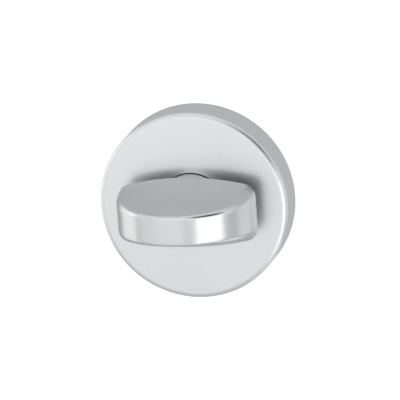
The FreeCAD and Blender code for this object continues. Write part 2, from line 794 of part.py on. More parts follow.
def make_retainer_plate():
    """A stamped plate with a central bore and four holes for the stake pins."""
    body = new_body("retainer_plate")
    sketch = new_sketch(body, "plate_outline", "XZ_Plane", "-(plate_front)")
    add_flatted_circle(sketch, "plate_radius", "plate_half")
    add_circle(sketch, "0", "0", "plate_bore_radius")
    add_stake_circles(sketch, "stake_radius + stake_gap")
    pad(body, "plate", sketch, "plate_thickness", outward=False)
    return body


def make_retaining_ring():
    """An open ring in the journal's groove, its mouth turned down."""
    body = new_body("retaining_ring")
    sketch = new_sketch(body, "ring_outline", "XZ_Plane", "-(ring_front)")
    spread = "360 - ring_mouth_degrees"
    inner = "ring_groove_radius + ring_side_gap"
    add_sector(sketch, inner, f"{inner} + ring_width", "90", spread)
    pad(body, "ring", sketch, "ring_thickness", outward=False)
    return body


def make_spindle():
    """The square follower bar with chamfered ends and a cross hole for the pin."""
    body = new_body("spindle")
    sketch = new_sketch(body, "spindle_square", "XZ_Plane", "spindle_front")
    add_outline(sketch, square("spindle_side / 2"))
    pad(body, "spindle_bar", sketch, "spindle_reach + spindle_front", outward=False)
    base = body.Tip
    ends = []
    for i, edge in enumerate(base.Shape.Edges, start=1):
        if abs(edge.tangentAt(edge.FirstParameter).y) < 0.5:
            ends.append(f"Edge{i}")
    chamfer = body.newObject("PartDesign::Chamfer", "spindle_ends")
    chamfer.Base = (base, ends)
    bind(chamfer, Size="spindle_chamfer")
    doc.recompute()
    cross = new_sketch(body, "spindle_hole_circle", "YZ_Plane")
    add_circle(cross, "pin_level", "0", "pin_radius + seat_gap")
    pocket(body, "spindle_hole", cross, midplane=True)
    return body


def make_spindle_pin():
    """A slotted spring pin across the journal, kept in place by the bush."""
    body = new_body("spindle_pin")
    sketch = new_sketch(body, "pin_circles", "YZ_Plane")
    add_circle(sketch, "pin_level", "0", "pin_radius")
    add_circle(sketch, "pin_level", "0", "pin_radius - pin_wall")
    pad(body, "pin_tube", sketch, "pin_length", midplane=True)
    slot = new_sketch(body, "pin_slot_outline", "YZ_Plane")
    add_outline(
        slot,
        [
            ("pin_level - pin_slot / 2", "0"),
            ("pin_level + pin_slot / 2", "0"),
            ("pin_level + pin_slot / 2", "2 * pin_radius"),
            ("pin_level - pin_slot / 2", "2 * pin_radius"),
        ],
    )
    pocket(body, "pin_slot", slot, midplane=True)
    return body


def make_base_plate():
    """The plate on the door: a disc with a grooved snap rim, a centre bore and two drilled lugs."""
    groove_front = "-(snap_level + snap_groove_half)"
    groove_back = "-(snap_level - snap_groove_half)"
    groove_floor = "base_rim_radius - snap_wire_radius - snap_gap"
    body = turned(
        "base_plate",
        [
            ("base_bore_radius", "0"),
            ("base_rim_radius", "0"),
            ("base_rim_radius", groove_back),
            (groove_floor, groove_back),
            (groove_floor, groove_front),
            ("base_rim_radius", groove_front),
            ("base_rim_radius", "-base_rim_height + base_rim_bevel"),
            ("base_rim_radius - base_rim_bevel", "-base_rim_height"),
            ("base_rim_inner", "-base_rim_height"),
            ("base_rim_inner", "base_front"),
            ("base_bore_radius", "base_front"),
        ],
    )
    for name, radius in (("lugs", "lug_bore_radius + lug_wall"), ("lug_bores", "lug_bore_radius")):
        sketch = new_sketch(body, name + "_circles", "XZ_Plane")
        for side in ("", "-"):
            add_circle(sketch, f"{side}(lug_half)", "0", radius)
        if name == "lugs":
            pad(body, name, sketch, "lug_height", outward=False)
        else:
            pocket(body, name, sketch, midplane=True)
    return body


def make_snap_ring():
    """An open ring of round wire in the base plate's groove, its mouth turned down."""
    body = new_body("snap_ring")
    sketch = new_sketch(body, "wire_circle", "XY_Plane")
    add_circle(sketch, "base_rim_radius", "-snap_level", "snap_wire_radius")
    revolve(body, "wire", sketch, "360 - snap_mouth_degrees")
    body.Placement = Placement(Vector(0, 0, 0), Rotation(Vector(0, 1, 0), 0))
    bind(body, **{"Placement.Rotation.Angle": "90 + snap_mouth_degrees / 2"})
    return body


def make_pair(label, corners, slot):
    """Two equal turned pieces, one on each lug: a piece turned about Y, moved out, and its mirror image."""
    body = turned(label + "_right", corners)
    if slot is not None:
        level, depth = slot
        sketch = new_sketch(body, label + "_slot", "XZ_Plane", f"-({level})")
        half = "screw_slot / 2"
        reach = "screw_head_radius + cut_spare"
        add_outline(
            sketch,
            [
                (f"-({reach})", f"-{half}"),
                (reach, f"-{half}"),
                (reach, half),
                (f"-({reach})", half),
            ],
        )
        pocket(body, label + "_slot_cut", sketch, depth, outward=False)
    bind(body, **{"Placement.Base.x": "lug_half"})
    mirror = doc.addObject("Part::Mirroring", label + "_left")
    mirror.Source = body
    mirror.Normal = Vector(1, 0, 0)
    pair = doc.addObject("Part::Compound", label)
    pair.Label = label
    pair.Links = [body, mirror]
    doc.recompute()
    return pair


def make_fixing_screws():
    """Two M4 cheese head screws through the lugs, with a reduced shank inside them."""
    end = "washer_front + screw_length"
    corners = [
        ("0", "screw_head_front"),
        ("screw_head_radius - screw_head_bevel", "screw_head_front"),
        ("screw_head_radius", "screw_head_front + screw_head_bevel"),
        ("screw_head_radius", "washer_front"),
        ("screw_shank_radius", "washer_front"),
        ("screw_shank_radius", "screw_thread_front"),
        ("screw_radius", "screw_thread_front"),
        ("screw_radius", f"{end} - screw_point"),
        ("screw_radius - screw_point", end),
        ("0", end),
    ]
    return make_pair("fixing_screws", corners, ("screw_head_front", "screw_slot_depth"))


def make_screw_washers():
    """Two plain washers under the screw heads."""
    corners = [
        ("screw_radius + washer_bore_gap", "washer_front"),
        ("washer_radius", "washer_front"),
        ("washer_radius", "base_front"),
        ("screw_radius + washer_bore_gap", "base_front"),
    ]
    return make_pair("screw_washers", corners, None)


def make_wave_washer():
    """A ring of spring steel bent into three waves, its surfaces ruled between smooth closed curves."""
    inner = value("journal_radius + wave_bore_gap")
    outer = inner + value("wave_width")
    thickness = value("wave_thickness")
    swing = (value("wave_room") - thickness) / 2 - value("seat_gap") / 2
    middle = value("collar_back + wave_room / 2")
    waves = 3
    steps = 48

    def wave(radius, lift):
        spots = []
        for i in range(steps):
            angle = 2 * math.pi * i / steps
            y = middle + lift + swing * math.sin(waves * angle)
            spots.append(Vector(radius * math.cos(angle), y, radius * math.sin(angle)))
        curve = Part.BSplineCurve()
        curve.interpolate(spots, PeriodicFlag=True)
        return curve.toShape()

    loops = [
        wave(radius, lift)
        for radius, lift in (
            (inner, -thickness / 2),
            (outer, -thickness / 2),
            (outer, thickness / 2),
            (inner, thickness / 2),
        )
    ]
    faces = [Part.makeRuledSurface(a, b) for a, b in zip(loops, loops[1:] + loops[:1])]
    shell = Part.makeShell([face for ruled in faces for face in ruled.Faces])
    solid = Part.makeSolid(shell)
    if solid.Volume < 0:
        solid.reverse()
    washer = doc.addObject("Part::Feature", "wave_washer")
    washer.Label = "wave_washer"
    washer.Shape = solid
    washer.Placement = Placement()
    return washer


PARTS = [
    make_rose_cover(),
    make_thumb_turn(),
    make_wave_washer(),
    make_neck_bush(),
    make_carrier(),
    make_stop_cam(),
    make_spring("detent_spring_upper", ""),
    make_spring("detent_spring_lower", "-"),
    make_retainer_plate(),
    make_retaining_ring(),
    make_spindle(),
    make_spindle_pin(),
    make_base_plate(),
    make_snap_ring(),
    make_fixing_screws(),
    make_screw_washers(),
]
doc.recompute()

for thing in doc.Objects:
    if {"Invalid", "Error"} & set(thing.State):
        raise RuntimeError(f"{thing.Name} failed: {thing.State}")
os.makedirs("parts", exist_ok=True)
for part in PARTS:
    if part.Shape.isNull() or not part.Shape.isValid():
        raise RuntimeError(f"{part.Label} has no valid shape")
    print(part.Label, len(part.Shape.Solids), round(part.Shape.Volume, 2))
for part in PARTS:
    part.Shape.exportStep(f"parts/{part.Label}.step")
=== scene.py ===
"""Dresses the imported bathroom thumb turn.

The CAD pieces get their finishes, and the fixing screws are replaced by ones with slotted heads and cut
threads. A studio with a pale floor, soft boxes and a camera is set around them. Lengths are metres, and
angles are radians where degrees aren't named. X runs to the right, Z up and Y into the door, with the turn's
axis on Y and the door's face at y = 0.
"""

import math

import bmesh
import bpy
import numpy as np
from bpy.props import FloatProperty, FloatVectorProperty, IntProperty, PointerProperty
from mathutils import Matrix, Vector


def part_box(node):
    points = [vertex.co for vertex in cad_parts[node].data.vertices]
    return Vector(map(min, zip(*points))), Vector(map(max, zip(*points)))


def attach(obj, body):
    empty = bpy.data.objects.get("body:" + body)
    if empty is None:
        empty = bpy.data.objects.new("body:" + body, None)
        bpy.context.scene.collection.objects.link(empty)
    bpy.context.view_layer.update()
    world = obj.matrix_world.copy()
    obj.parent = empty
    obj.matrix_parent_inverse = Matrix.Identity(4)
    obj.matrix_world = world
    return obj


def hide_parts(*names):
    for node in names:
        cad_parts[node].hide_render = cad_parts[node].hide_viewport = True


bl_info = {
    "name": "Bathroom thumb turn",
    "version": (1, 0, 0),
    "blender": (4, 5, 0),
    "location": "3D View > Sidebar > Thumb turn",
    "description": "Finishes, threaded screws and studio for a bathroom thumb turn on a round rose",
    "category": "Object",
}

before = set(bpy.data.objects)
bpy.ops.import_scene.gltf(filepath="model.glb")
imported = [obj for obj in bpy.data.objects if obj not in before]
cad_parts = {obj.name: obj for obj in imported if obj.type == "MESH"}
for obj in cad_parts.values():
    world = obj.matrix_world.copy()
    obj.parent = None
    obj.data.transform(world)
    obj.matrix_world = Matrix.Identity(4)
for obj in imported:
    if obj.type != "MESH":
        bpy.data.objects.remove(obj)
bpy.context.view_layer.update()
MM = 0.001
SCREW_LOW, SCREW_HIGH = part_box("fixing_screws")
WASHER_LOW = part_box("screw_washers")[0]
LUG_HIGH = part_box("base_plate")[1]


def colour(name, description, default):
    """A colour property."""
    return FloatVectorProperty(
        name=name, description=description, default=default, size=3, min=0, max=1, subtype="COLOR"
    )


def length(name, description, default):
    """A length property."""
    return FloatProperty(name=name, description=description, default=default, min=0, unit="LENGTH")


def angle(name, description, degrees):
    """An angle property, its default given in degrees."""
    return FloatProperty(
        name=name, description=description, default=math.radians(degrees), subtype="ANGLE"
    )


def share(name, description, default):
    """A property between nought and one."""
    return FloatProperty(
        name=name, description=description, default=default, min=0, max=1, subtype="FACTOR"
    )


def level(name, description, default):
    """A brightness property, where one is white."""
    return FloatProperty(name=name, description=description, default=default, min=0)


class FinishSettings(bpy.types.PropertyGroup):
    """Colours and roughness of the finishes."""

    rose_colour: colour("Rose", "Satin metal of the rose", (0.74, 0.755, 0.765))
    rose_roughness: share("Rose roughness", "Roughness of the rose's satin", 0.35)
    grip_colour: colour("Grip", "Satin metal of the grip", (0.67, 0.685, 0.69))
    grip_roughness: share("Grip roughness", "Roughness of the grip's satin", 0.24)
    zinc_colour: colour("Zinc", "Zinc plating at its bluest", (0.60, 0.63, 0.66))
    zinc_tint: colour("Zinc tint", "Zinc plating where it turns straw", (0.62, 0.61, 0.54))
    spring_colour: colour("Spring steel", "Bright spring steel", (0.46, 0.46, 0.47))
    bar_colour: colour("Bar steel", "Drawn steel of the spindle", (0.50, 0.50, 0.51))
    bar_tint: colour("Bar tint", "Darker drawing marks on the spindle", (0.36, 0.355, 0.35))
    bush_colour: colour("Bush", "Acetal of the bush", (0.78, 0.77, 0.72))
    carrier_colour: colour("Carrier", "Nylon of the carrier", (0.030, 0.031, 0.033))
    carrier_fibre: colour("Carrier fibre", "Glass fibre showing in the nylon", (0.065, 0.066, 0.068))


class ScrewSettings(bpy.types.PropertyGroup):
    """Sizes of the M4 cheese head screws that the frame's box doesn't give."""

    pitch: length("Pitch", "Pitch of the thread", 0.7 * MM)
    thread_depth: length("Thread depth", "Height of the thread's ridge", 0.43 * MM)
    shank_radius: length("Shank radius", "Radius of the plain shank", 1.77 * MM)
    thread_gap: length("Thread gap", "From the lug's end to the thread", 0.3 * MM)
    thread_radius: length("Thread radius", "Outer radius of the thread", 2.0 * MM)
    point: length("Point", "Chamfer at the tip", 0.6 * MM)
    head_bevel: length("Head bevel", "Chamfer round the head", 0.3 * MM)
    head_radius: length("Head radius", "Radius of the head", 3.5 * MM)
    slot_width: length("Slot width", "Width of the driver slot", 1.2 * MM)
    slot_depth: length("Slot depth", "Depth of the driver slot", 1.2 * MM)
    bite: length("Bite", "How far the shank runs into the head", 0.2 * MM)
    plain_rows: IntProperty(name="Plain rows", description="Steps along the shank", default=5, min=1)
    sides: IntProperty(name="Sides", description="Steps round the thread", default=32, min=8)
    rows: IntProperty(name="Rows", description="Steps along one pitch", default=10, min=4)


class StudioSettings(bpy.types.PropertyGroup):
    """Floor, lamps and camera."""

    floor_colour: colour("Floor", "Pale floor", (0.86, 0.86, 0.86))
    floor_roughness: share("Floor roughness", "Roughness of the floor", 0.9)
    floor_lift: level("Floor lift", "Light added where the camera sees the floor", 0.85)
    floor_sides: IntProperty(name="Floor sides", description="Sides of the floor", default=96, min=8)
    floor_drop: length("Floor drop", "From the turn's axis down to the floor", 0.25)
    floor_radius: length("Floor radius", "Radius of the floor", 6.0)
    lamp_distance: length("Lamp distance", "From the object to the soft boxes", 0.30)
    sky_level: level("Sky", "Light from all round on matt surfaces", 0.35)
    front_level: level("Front", "What the metal mirrors from the front", 0.95)
    back_level: level("Back", "What the metal mirrors from behind and below", 0.63)
    flag_azimuth: angle("Flag azimuth", "Round to the dark flag", 45)
    flag_elevation: angle("Flag elevation", "Up to the dark flag", 27)
    flag_level: share("Flag", "Share of the mirrored light that the dark flag leaves", 0.0)
    camera_distance: length("Camera distance", "From the turn's axis to the camera", 0.50)
    camera_azimuth: angle("Camera azimuth", "Round to the right of the rose", 14.5)
    camera_elevation: angle("Camera elevation", "Up from the rose's axis", 15.2)
    camera_roll: angle("Camera roll", "Turn of the picture", -4.0)
    view_width: length("View width", "Width of the picture at the turn's axis", 0.10825)
    aim_right: FloatProperty(
        name="Aim right", description="Aim beside the axis", default=-0.27 * MM, unit="LENGTH"
    )
    aim_up: FloatProperty(
        name="Aim up", description="Aim above the axis", default=-0.84 * MM, unit="LENGTH"
    )


class Graph:
    """Adds nodes to a node tree and joins them."""

    def __init__(self, tree):
        self.tree = tree

    def feed(self, node, inputs):
        """Links each input to a socket or sets it to a value; returns the node."""
        for socket, source in inputs.items():
            target = node.inputs[socket]
            if isinstance(source, bpy.types.NodeSocket):
                self.tree.links.new(source, target)
            else:
                target.default_value = source
        return node

    def add(self, kind, inputs=None, **settings):
        """A new node with its properties set and its inputs fed; returns the node."""
        node = self.tree.nodes.new(kind)
        for name, setting in settings.items():
            setattr(node, name, setting)
        return self.feed(node, inputs or {})

    def math(self, operation, *terms):
        """A Math node's output."""
        return self.add("ShaderNodeMath", dict(enumerate(terms)), operation=operation).outputs[0]

    def ramp(self, amount, low, high, out_low=0.0, out_high=1.0, kind="LINEAR"):
        """Maps a span of values to another."""
        spans = {"Value": amount, "From Min": low, "From Max": high, "To Min": out_low, "To Max": out_high}
        return self.add("ShaderNodeMapRange", spans, interpolation_type=kind).outputs["Result"]

    def blend(self, amount, first, second):
        """A mix of two colours."""
        return self.add("ShaderNodeMix", {0: amount, 6: first, 7: second}, data_type="RGBA").outputs[2]


def rgba(three):
    """A colour with full alpha."""
    return (*three, 1.0)


def new_group(name, inputs, outputs):
    """A shader node group with named sockets, and the graph, input and output nodes inside it."""
    tree = bpy.data.node_groups.new(name, "ShaderNodeTree")
    for label, kind, default in inputs:
        socket = tree.interface.new_socket(label, in_out="INPUT", socket_type=kind)
        socket.default_value = default
    for label, kind in outputs:
        tree.interface.new_socket(label, in_out="OUTPUT", socket_type=kind)
    graph = Graph(tree)
    return graph, graph.add("NodeGroupInput"), graph.add("NodeGroupOutput")


# Most of a noise's values lie in this span.
NOISE_SPAN = (0.3, 0.7)


def grain_group():
    """Fine surface grain: noise on the object's coordinates, stretched along one axis for drawn marks."""
    graph, source, out = new_group(
        "surface_grain",
        [
            ("Scale", "NodeSocketFloat", 4000.0),
            ("Stretch", "NodeSocketVector", (1.0, 1.0, 1.0)),
            ("Detail", "NodeSocketFloat", 2.0),
        ],
        [("Grain", "NodeSocketFloat")],
    )
    spot = graph.add("ShaderNodeTexCoord").outputs["Object"]
    drawn = graph.add(
        "ShaderNodeVectorMath", {0: spot, 1: source.outputs["Stretch"]}, operation="MULTIPLY"
    )
    noise = graph.add(
        "ShaderNodeTexNoise",
        {
            "Vector": drawn.outputs[0],
            "Scale": source.outputs["Scale"],
            "Detail": source.outputs["Detail"],
        },
    )
    graph.feed(out, {"Grain": graph.ramp(noise.outputs["Fac"], *NOISE_SPAN)})
    return graph.tree


def edge_group():
    """Soft edges: the normal rounded over a width, and a mask of how far it leaves the true normal."""
    graph, source, out = new_group(
        "soft_edge",
        [("Width", "NodeSocketFloat", 0.0003), ("Reach", "NodeSocketFloat", 0.15)],
        [("Edge", "NodeSocketFloat"), ("Normal", "NodeSocketVector")],
    )
    rounded = graph.add("ShaderNodeBevel", {"Radius": source.outputs["Width"]}, samples=6)
    true = graph.add("ShaderNodeNewGeometry").outputs["Normal"]
    likeness = graph.add(
        "ShaderNodeVectorMath", {0: rounded.outputs[0], 1: true}, operation="DOT_PRODUCT"
    )
    turned = graph.math("SUBTRACT", 1.0, likeness.outputs["Value"])
    edge = graph.ramp(turned, 0.0, source.outputs["Reach"], kind="SMOOTHSTEP")
    graph.feed(out, {"Edge": edge, "Normal": rounded.outputs[0]})
    return graph.tree


def cloud_group():
    """Broad soft patches, as handling and uneven plating leave them."""
    graph, source, out = new_group(
        "soft_patches",
        [
            ("Scale", "NodeSocketFloat", 60.0),
            ("Low", "NodeSocketFloat", 0.4),
            ("High", "NodeSocketFloat", 0.7),
        ],
        [("Patch", "NodeSocketFloat")],
    )
    spot = graph.add("ShaderNodeTexCoord").outputs["Object"]
    noise = graph.add(
        "ShaderNodeTexNoise",
        {"Vector": spot, "Scale": source.outputs["Scale"], "Detail": 3.0, "Distortion": 0.6},
    )
    patch = graph.ramp(
        noise.outputs["Fac"], source.outputs["Low"], source.outputs["High"], kind="SMOOTHSTEP"
    )
    graph.feed(out, {"Patch": patch})
    return graph.tree


GROUPS = {"surface_grain": grain_group, "soft_edge": edge_group, "soft_patches": cloud_group}


def group_node(graph, name, **inputs):
    """Places a shared node group, which is built the first time it is asked for."""
    tree = bpy.data.node_groups.get(name) or GROUPS[name]()
    return graph.add("ShaderNodeGroup", inputs, node_tree=tree)


def new_material(name):
    """An empty node material, its graph and its Principled shader."""
    material = bpy.data.materials.new(name)
    material.use_nodes = True
    graph = Graph(material.node_tree)
    material.node_tree.nodes.clear()
    shader = graph.add("ShaderNodeBsdfPrincipled")
    graph.add("ShaderNodeOutputMaterial", {"Surface": shader.outputs[0]}, name="output")
    return material, graph, shader


def shade(three, factor):
    """A colour made lighter or darker."""
    return tuple(min(1.0, channel * factor) for channel in three)


def finish(
    name,
    base,
    tint,
    roughness,
    metallic,
    grain_scale,
    grain_height,
    swing,
    stretch=(1.0, 1.0, 1.0),
    patch_scale=60.0,
    edge_width=0.15 * MM,
    edge_lift=0.12,
    grazing=1.0,
):
    """A finish from shared effects: grain in roughness and bump, patches of tint and painted edge highlights.

    The grain moves the roughness by half the swing either way, and a patch adds up to half of it. A soft edge
    rounds the normal over edge_width, and a painted highlight there lightens the colour by edge_lift. Where
    grazing is under one, metal seen at a flat angle is dimmer.
    """
    material, graph, shader = new_material(name)
    grain = group_node(graph, "surface_grain", Scale=grain_scale, Stretch=stretch).outputs["Grain"]
    patch = group_node(graph, "soft_patches", Scale=patch_scale).outputs["Patch"]
    edge = group_node(graph, "soft_edge", Width=edge_width)
    toned = graph.blend(patch, rgba(base), rgba(tint))
    # Painted highlight: the colour is lightened by edge_lift where the soft edge turns the normal.
    painted_edge_highlight = graph.blend(edge.outputs["Edge"], toned, rgba(shade(base, 1 + edge_lift)))
    rough = graph.ramp(grain, 0.0, 1.0, roughness - swing / 2, roughness + swing / 2)
    uneven = graph.math("MULTIPLY_ADD", patch, swing / 2, rough)
    bump = graph.add(
        "ShaderNodeBump",
        {
            "Height": grain,
            "Distance": grain_height,
            "Strength": 1.0,
            "Normal": edge.outputs["Normal"],
        },
    )
    graph.feed(
        shader,
        {
            "Base Color": painted_edge_highlight,
            "Roughness": uneven,
            "Normal": bump.outputs[0],
            "Metallic": metallic,
            "Specular Tint": rgba((grazing, grazing, grazing)),
        },
    )
    return material


def dress(nodes, material):
    """Puts a finish on CAD nodes."""
    for node in nodes:
        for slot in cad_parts[node].material_slots:
            slot.link = "OBJECT"
            slot.material = material


def zinc_plating(settings):
    """Zinc plating in bluish and straw patches, made the first time it is asked for."""
    return bpy.data.materials.get("zinc_plating") or finish(
        "zinc_plating",
        settings.zinc_colour,
        settings.zinc_tint,
        roughness=0.34,
        metallic=1.0,
        grain_scale=2600.0,
        grain_height=4e-6,
        patch_scale=110.0,
        swing=0.12,
    )


def spring_steel(settings):
    """Bright spring steel, made the first time it is asked for."""
    return bpy.data.materials.get("spring_steel") or finish(
        "spring_steel",
        settings.spring_colour,
        shade(settings.spring_colour, 0.82),
        roughness=0.28,
        metallic=1.0,
        grain_scale=1500.0,
        stretch=(0.2, 1.0, 1.0),
        grain_height=2e-6,
        swing=0.10,
    )


class TURNLOCK_OT_rose(bpy.types.Operator):
    """Gives the rose its satin metal"""

    bl_idname = "turnlock.rose"
    bl_label = "Finish the rose"

    def execute(self, context):
        settings = context.scene.turnlock_finish
        satin = finish(
            "rose_satin",
            settings.rose_colour,
            shade(settings.rose_colour, 0.985),
            roughness=settings.rose_roughness,
            metallic=1.0,
            grain_scale=3200.0,
            grain_height=1.2e-6,
            patch_scale=35.0,
            edge_width=0.12 * MM,
            edge_lift=0.03,
            swing=0.04,
            grazing=0.85,
        )
        dress(["rose_cover"], satin)
        return {"FINISHED"}


class TURNLOCK_OT_grip(bpy.types.Operator):
    """Gives the thumb turn its finer satin metal"""

    bl_idname = "turnlock.grip"
    bl_label = "Finish the grip"

    def execute(self, context):
        settings = context.scene.turnlock_finish
        satin = finish(
            "grip_satin",
            settings.grip_colour,
            shade(settings.grip_colour, 0.985),
            roughness=settings.grip_roughness,
            metallic=1.0,
            grain_scale=3600.0,
            grain_height=0.8e-6,
            patch_scale=45.0,
            edge_width=0.2 * MM,
            edge_lift=0.04,
            swing=0.04,
            grazing=0.72,
        )
        dress(["thumb_turn"], satin)
        return {"FINISHED"}


class TURNLOCK_OT_bearing(bpy.types.Operator):
    """Finishes the moulded carrier, its bush and the wave washer"""

    bl_idname = "turnlock.bearing"
    bl_label = "Finish the bearing"

    def execute(self, context):
        settings = context.scene.turnlock_finish
        nylon = finish(
            "glass_filled_nylon",
            settings.carrier_colour,
            settings.carrier_fibre,
            roughness=0.52,
            metallic=0.0,
            grain_scale=1400.0,
            stretch=(1.0, 1.0, 0.5),
            grain_height=9e-6,
            patch_scale=900.0,
            edge_lift=0.5,
            swing=0.14,
        )
        acetal = finish(
            "acetal",
            settings.bush_colour,
            shade(settings.bush_colour, 0.95),
            roughness=0.38,
            metallic=0.0,
            grain_scale=1800.0,
            grain_height=2e-6,
            swing=0.08,
        )
        dress(["bearing_carrier"], nylon)
        dress(["neck_bush"], acetal)
        dress(["wave_washer"], spring_steel(settings))
        return {"FINISHED"}


class TURNLOCK_OT_detent(bpy.types.Operator):
    """Finishes the stop cam, its leaf springs, the retainer plate and the retaining ring"""

    bl_idname = "turnlock.detent"
    bl_label = "Finish the detent"

    def execute(self, context):
        settings = context.scene.turnlock_finish
        dress(["detent_spring_upper", "detent_spring_lower", "retaining_ring"], spring_steel(settings))
        dress(["stop_cam", "retainer_plate"], zinc_plating(settings))
        return {"FINISHED"}


class TURNLOCK_OT_spindle(bpy.types.Operator):
    """Finishes the square spindle with marks drawn along it, and its pin"""

    bl_idname = "turnlock.spindle"
    bl_label = "Finish the spindle"

    def execute(self, context):
        settings = context.scene.turnlock_finish
        drawn = finish(
            "drawn_bar",
            settings.bar_colour,
            settings.bar_tint,
            roughness=0.30,
            metallic=1.0,
            grain_scale=2400.0,
            stretch=(1.0, 0.03, 1.0),
            grain_height=5e-6,
            patch_scale=70.0,
            edge_width=0.25 * MM,
            edge_lift=0.35,
            swing=0.16,
        )
        dress(["spindle"], drawn)
        dress(["spindle_pin"], spring_steel(settings))
        return {"FINISHED"}


class TURNLOCK_OT_base(bpy.types.Operator):
    """Finishes the base plate, the washers and the snap ring"""

    bl_idname = "turnlock.base"
    bl_label = "Finish the base"

    def execute(self, context):
        settings = context.scene.turnlock_finish
        dress(["base_plate", "screw_washers"], zinc_plating(settings))
        dress(["snap_ring"], spring_steel(settings))
        return {"FINISHED"}


def new_object(name, data):
    """An object in the scene."""
    made = bpy.data.objects.new(name, data)
    bpy.context.scene.collection.objects.link(made)
    return made


def tube_faces(rows, columns):
    """Quads of a grid of rows by columns, its last column joined to the first."""
    i, j = np.meshgrid(np.arange(rows - 1), np.arange(columns), indexing="ij")
    low, high, after = i * columns, (i + 1) * columns, (j + 1) % columns
    return np.stack([low + j, low + after, high + after, high + j], axis=-1).reshape(-1, 4)


def thread_shape(settings, start, lug_end, tip):
    """The shank and thread of a screw about the Y axis.

    Rows run along y and columns round the shank at angle t. The radius is that of the shank up to the thread.
    Past it, the radius is the root radius plus the thread's depth times w, where u is the fractional part of
    y / pitch + t / one turn, and w falls in a straight line from 1 on the crest, an eighth of a pitch wide,
    to 0 on the root, a quarter of a pitch wide. The thread rises out of the shank over one pitch, and a cone
    of 45 degrees limits it at the tip. Both ends close on the axis.
    """
    pitch = settings.pitch
    thread_start = lug_end + settings.thread_gap
    plain = np.linspace(start, thread_start, settings.plain_rows, endpoint=False)
    count = round((tip - thread_start) / pitch * settings.rows)
    y = np.concatenate([plain, np.linspace(thread_start, tip, count)])[:, None]
    t = np.linspace(0, 2 * np.pi, settings.sides, endpoint=False)[None, :]
    u = np.mod(y / pitch + t / (2 * np.pi), 1.0)
    crest_width, root_width = 1 / 8, 1 / 4
    away = np.abs(2 * u - 1)
    w = np.clip((1 - root_width - away) / (1 - root_width - crest_width), 0, 1)
    root = settings.thread_radius - settings.thread_depth
    cut = root + settings.thread_depth * w
    rise = np.clip((y - thread_start) / pitch, 0, 1)
    radius = settings.shank_radius * (1 - rise) + cut * rise
    cone = settings.thread_radius - settings.point + tip - y
    radius = np.minimum(radius, cone)
    radius = np.concatenate([np.zeros((1, settings.sides)), radius, np.zeros((1, settings.sides))])
    y = np.concatenate([y[:1], y, y[-1:]]) + np.zeros_like(radius)
    points = np.stack([radius * np.cos(t), y, radius * np.sin(t)], axis=-1)
    return points.reshape(-1, 3), tube_faces(len(y), settings.sides)


def head_shape(settings, front, back):
    """A slotted cheese head about the Y axis.

    Four layers are stacked along y: the chamfered front, the foot of the chamfer, the slot's floor and the
    back. Each is a disc on a grid: line i lies at z = r sin(a) and point j at x = r cos(a) s, for s from -1
    to 1, with angles a chosen so that two lines run along the slot's sides. There are outer lines on either
    side of the slot, inner lines over it, counting its sides in both, and along points on a line. Inside the
    slot the front is left out and the floor put in, and the slot's sides and the head's rim join the layers.
    """
    ys = [front, front + settings.head_bevel, front + settings.slot_depth, back]
    radii = [settings.head_radius - settings.head_bevel] + [settings.head_radius] * 3
    outer, inner, along = 12, 3, 9
    lines = 2 * outer + inner - 2
    s = np.sin(np.linspace(-np.pi / 2, np.pi / 2, along))[None, :]
    layers = []
    for y, radius in zip(ys, radii):
        side = np.arcsin(settings.slot_width / 2 / radius)
        a = np.concatenate(
            [
                np.linspace(-np.pi / 2, -side, outer),
                np.linspace(-side, side, inner)[1:-1],
                np.linspace(side, np.pi / 2, outer),
            ]
        )[:, None]
        x = radius * np.cos(a) * s
        layers.append(np.stack([x, np.full_like(x, y), radius * np.sin(a) + 0 * s], axis=-1))
    points = np.concatenate([layer.reshape(-1, 3) for layer in layers])
    index = np.arange(4 * lines * along).reshape(4, lines, along)
    strips = np.arange(lines - 1)
    in_slot = (strips >= outer - 1) & (strips < lines - outer)
    everywhere = np.full(lines - 1, True)

    def sheet(layer, chosen):
        """Quads of the chosen strips of one layer."""
        grid = index[layer]
        low, high = grid[:-1][chosen], grid[1:][chosen]
        return np.stack([low[:, :-1], low[:, 1:], high[:, 1:], high[:, :-1]], axis=-1).reshape(-1, 4)

    def wall(top, foot):
        """Quads between two matching paths."""
        return np.stack([top[:-1], top[1:], foot[1:], foot[:-1]], axis=-1)

    faces = [sheet(0, ~in_slot), sheet(2, in_slot), sheet(3, everywhere)]
    for layer, rims in enumerate((~in_slot, ~in_slot, everywhere)):
        for end in (0, along - 1):
            faces.append(wall(index[layer][:, end], index[layer + 1][:, end])[rims])
    for layer in (0, 1):
        for line in (outer - 1, lines - outer):
            faces.append(wall(index[layer][line], index[layer + 1][line]))
    return points, np.concatenate(faces)


# Points closer than this are one point, and an edge that turns by more than this is a crease.
MERGE_DISTANCE = 1e-7
SHARP_ANGLE = math.radians(35)


def mesh_piece(name, points, faces):
    """A mesh object from points and quads, its doubles merged, its normals outwards and its creases sharp."""
    mesh = bpy.data.meshes.new(name)
    mesh.from_pydata(points.tolist(), [], faces.tolist())
    work = bmesh.new()
    work.from_mesh(mesh)
    bmesh.ops.remove_doubles(work, verts=work.verts, dist=MERGE_DISTANCE)
    bmesh.ops.dissolve_degenerate(work, dist=MERGE_DISTANCE, edges=work.edges)
    bmesh.ops.recalc_face_normals(work, faces=work.faces)
    work.to_mesh(mesh)
    work.free()
    mesh.shade_smooth()
    mesh.set_sharp_from_angle(angle=SHARP_ANGLE)
    return new_object(name, mesh)


